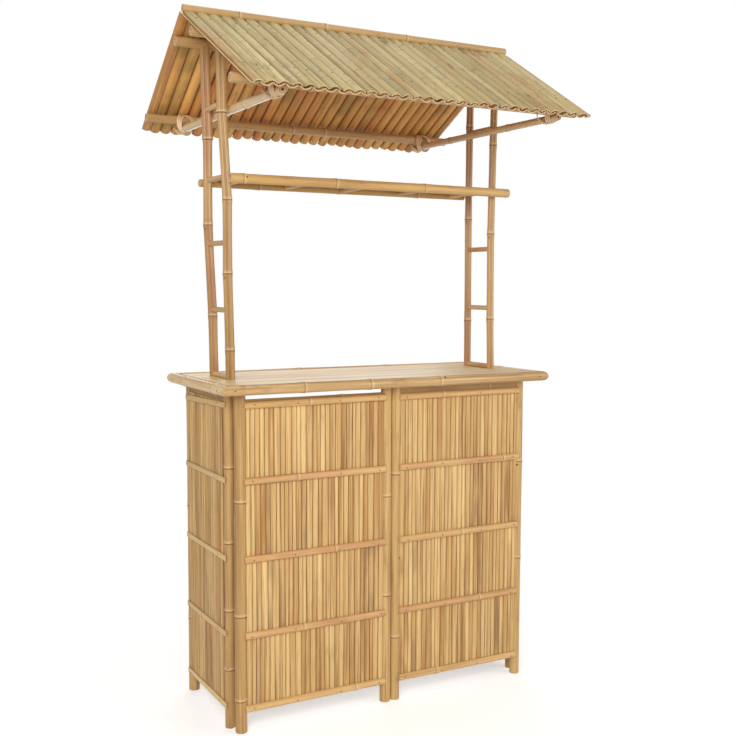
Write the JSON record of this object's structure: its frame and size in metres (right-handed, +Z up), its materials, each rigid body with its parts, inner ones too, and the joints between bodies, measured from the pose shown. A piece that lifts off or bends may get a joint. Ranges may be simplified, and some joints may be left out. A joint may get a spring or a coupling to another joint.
{
  "type": "bamboo bar hut",
  "caption": "Bamboo home bar: a folding slatted screen base, a wide counter top, two post ladders with a bottle shelf between them and a small gable roof of split-bamboo tiles.",
  "frame": {"origin": "on the floor, below the middle of the roof ridge, which is the middle of the bounding box's base", "axes": "+Z up, +X to the right as the guests see the bar, -Y towards the guests"},
  "size_m": [1.1986, 0.99, 2.1854],
  "materials": {
    "bamboo_post": "satin natural culm skin",
    "split_pole": "satin natural culm skin",
    "bamboo_slat": "matte split bamboo",
    "top_pole": "satin natural culm skin",
    "deck_board": "matte flattened bamboo",
    "roof_pole": "satin natural culm skin",
    "rung": "satin natural culm skin",
    "roof_tile": "satin split culm",
    "rattan": "matte cane peel",
    "hinge_metal": "satin plated steel"
  },
  "bodies": {
    "bar": {"centre_bolts": "hinge_metal", "fixed_hinge_leaves": "hinge_metal", "front_left_back_rails": "split_pole", "front_left_corner_post": "bamboo_post", "front_left_middle_post": "bamboo_post", "front_left_rails": "split_pole", "front_left_slats": "bamboo_slat", "front_lower_tiles": "roof_tile", "front_right_back_rails": "split_pole", "front_right_corner_post": "bamboo_post", "front_right_middle_post": "bamboo_post", "front_right_rails": "split_pole", "front_right_slats": "bamboo_slat", "front_upper_tiles": "roof_tile", "hinge_pins": "hinge_metal", "ladder_foot_bolts": "hinge_metal", "left_cross_beam": "roof_pole", "left_front_upright": "bamboo_post", "left_rear_upright": "bamboo_post", "left_rungs": "rung", "lower_front_purlin": "roof_pole", "lower_rear_purlin": "roof_pole", "rattan_bindings": "rattan", "rear_lower_tiles": "roof_tile", "rear_upper_tiles": "roof_tile", "ridge_pole": "roof_pole", "right_cross_beam": "roof_pole", "right_front_upright": "bamboo_post", "right_rear_upright": "bamboo_post", "right_rungs": "rung", "shelf_cross_pieces": "rung", "shelf_front_pole": "top_pole", "shelf_rear_pole": "top_pole", "shelf_slats": "bamboo_slat", "top_battens": "deck_board", "top_boards": "deck_board", "top_dowels": "rung", "top_front_pole": "top_pole", "top_left_pole": "top_pole", "top_rear_pole": "top_pole", "top_right_pole": "top_pole", "upper_front_purlin": "roof_pole", "upper_rear_purlin": "roof_pole"},
    "left_wing": {"left_wing_back_rails": "split_pole", "left_wing_front_post": "bamboo_post", "left_wing_hinge_leaves": "hinge_metal", "left_wing_rear_post": "bamboo_post", "left_wing_slats": "bamboo_slat", "left_wing_strips": "split_pole"},
    "right_wing": {"right_wing_back_rails": "split_pole", "right_wing_front_post": "bamboo_post", "right_wing_hinge_leaves": "hinge_metal", "right_wing_rear_post": "bamboo_post", "right_wing_slats": "bamboo_slat", "right_wing_strips": "split_pole"}
  },
  "joints": [
    {"name": "left_wing_fold", "type": "hinge", "parent": "bar", "child": "left_wing", "pos_m": [-0.49767, -0.19223, 0.5], "axis": [0, 0, -1], "range_deg": [0, 90]},
    {"name": "right_wing_fold", "type": "hinge", "parent": "bar", "child": "right_wing", "pos_m": [0.49835, -0.19328, 0.5], "axis": [0, 0, 1], "range_deg": [0, 90]}
  ]
}
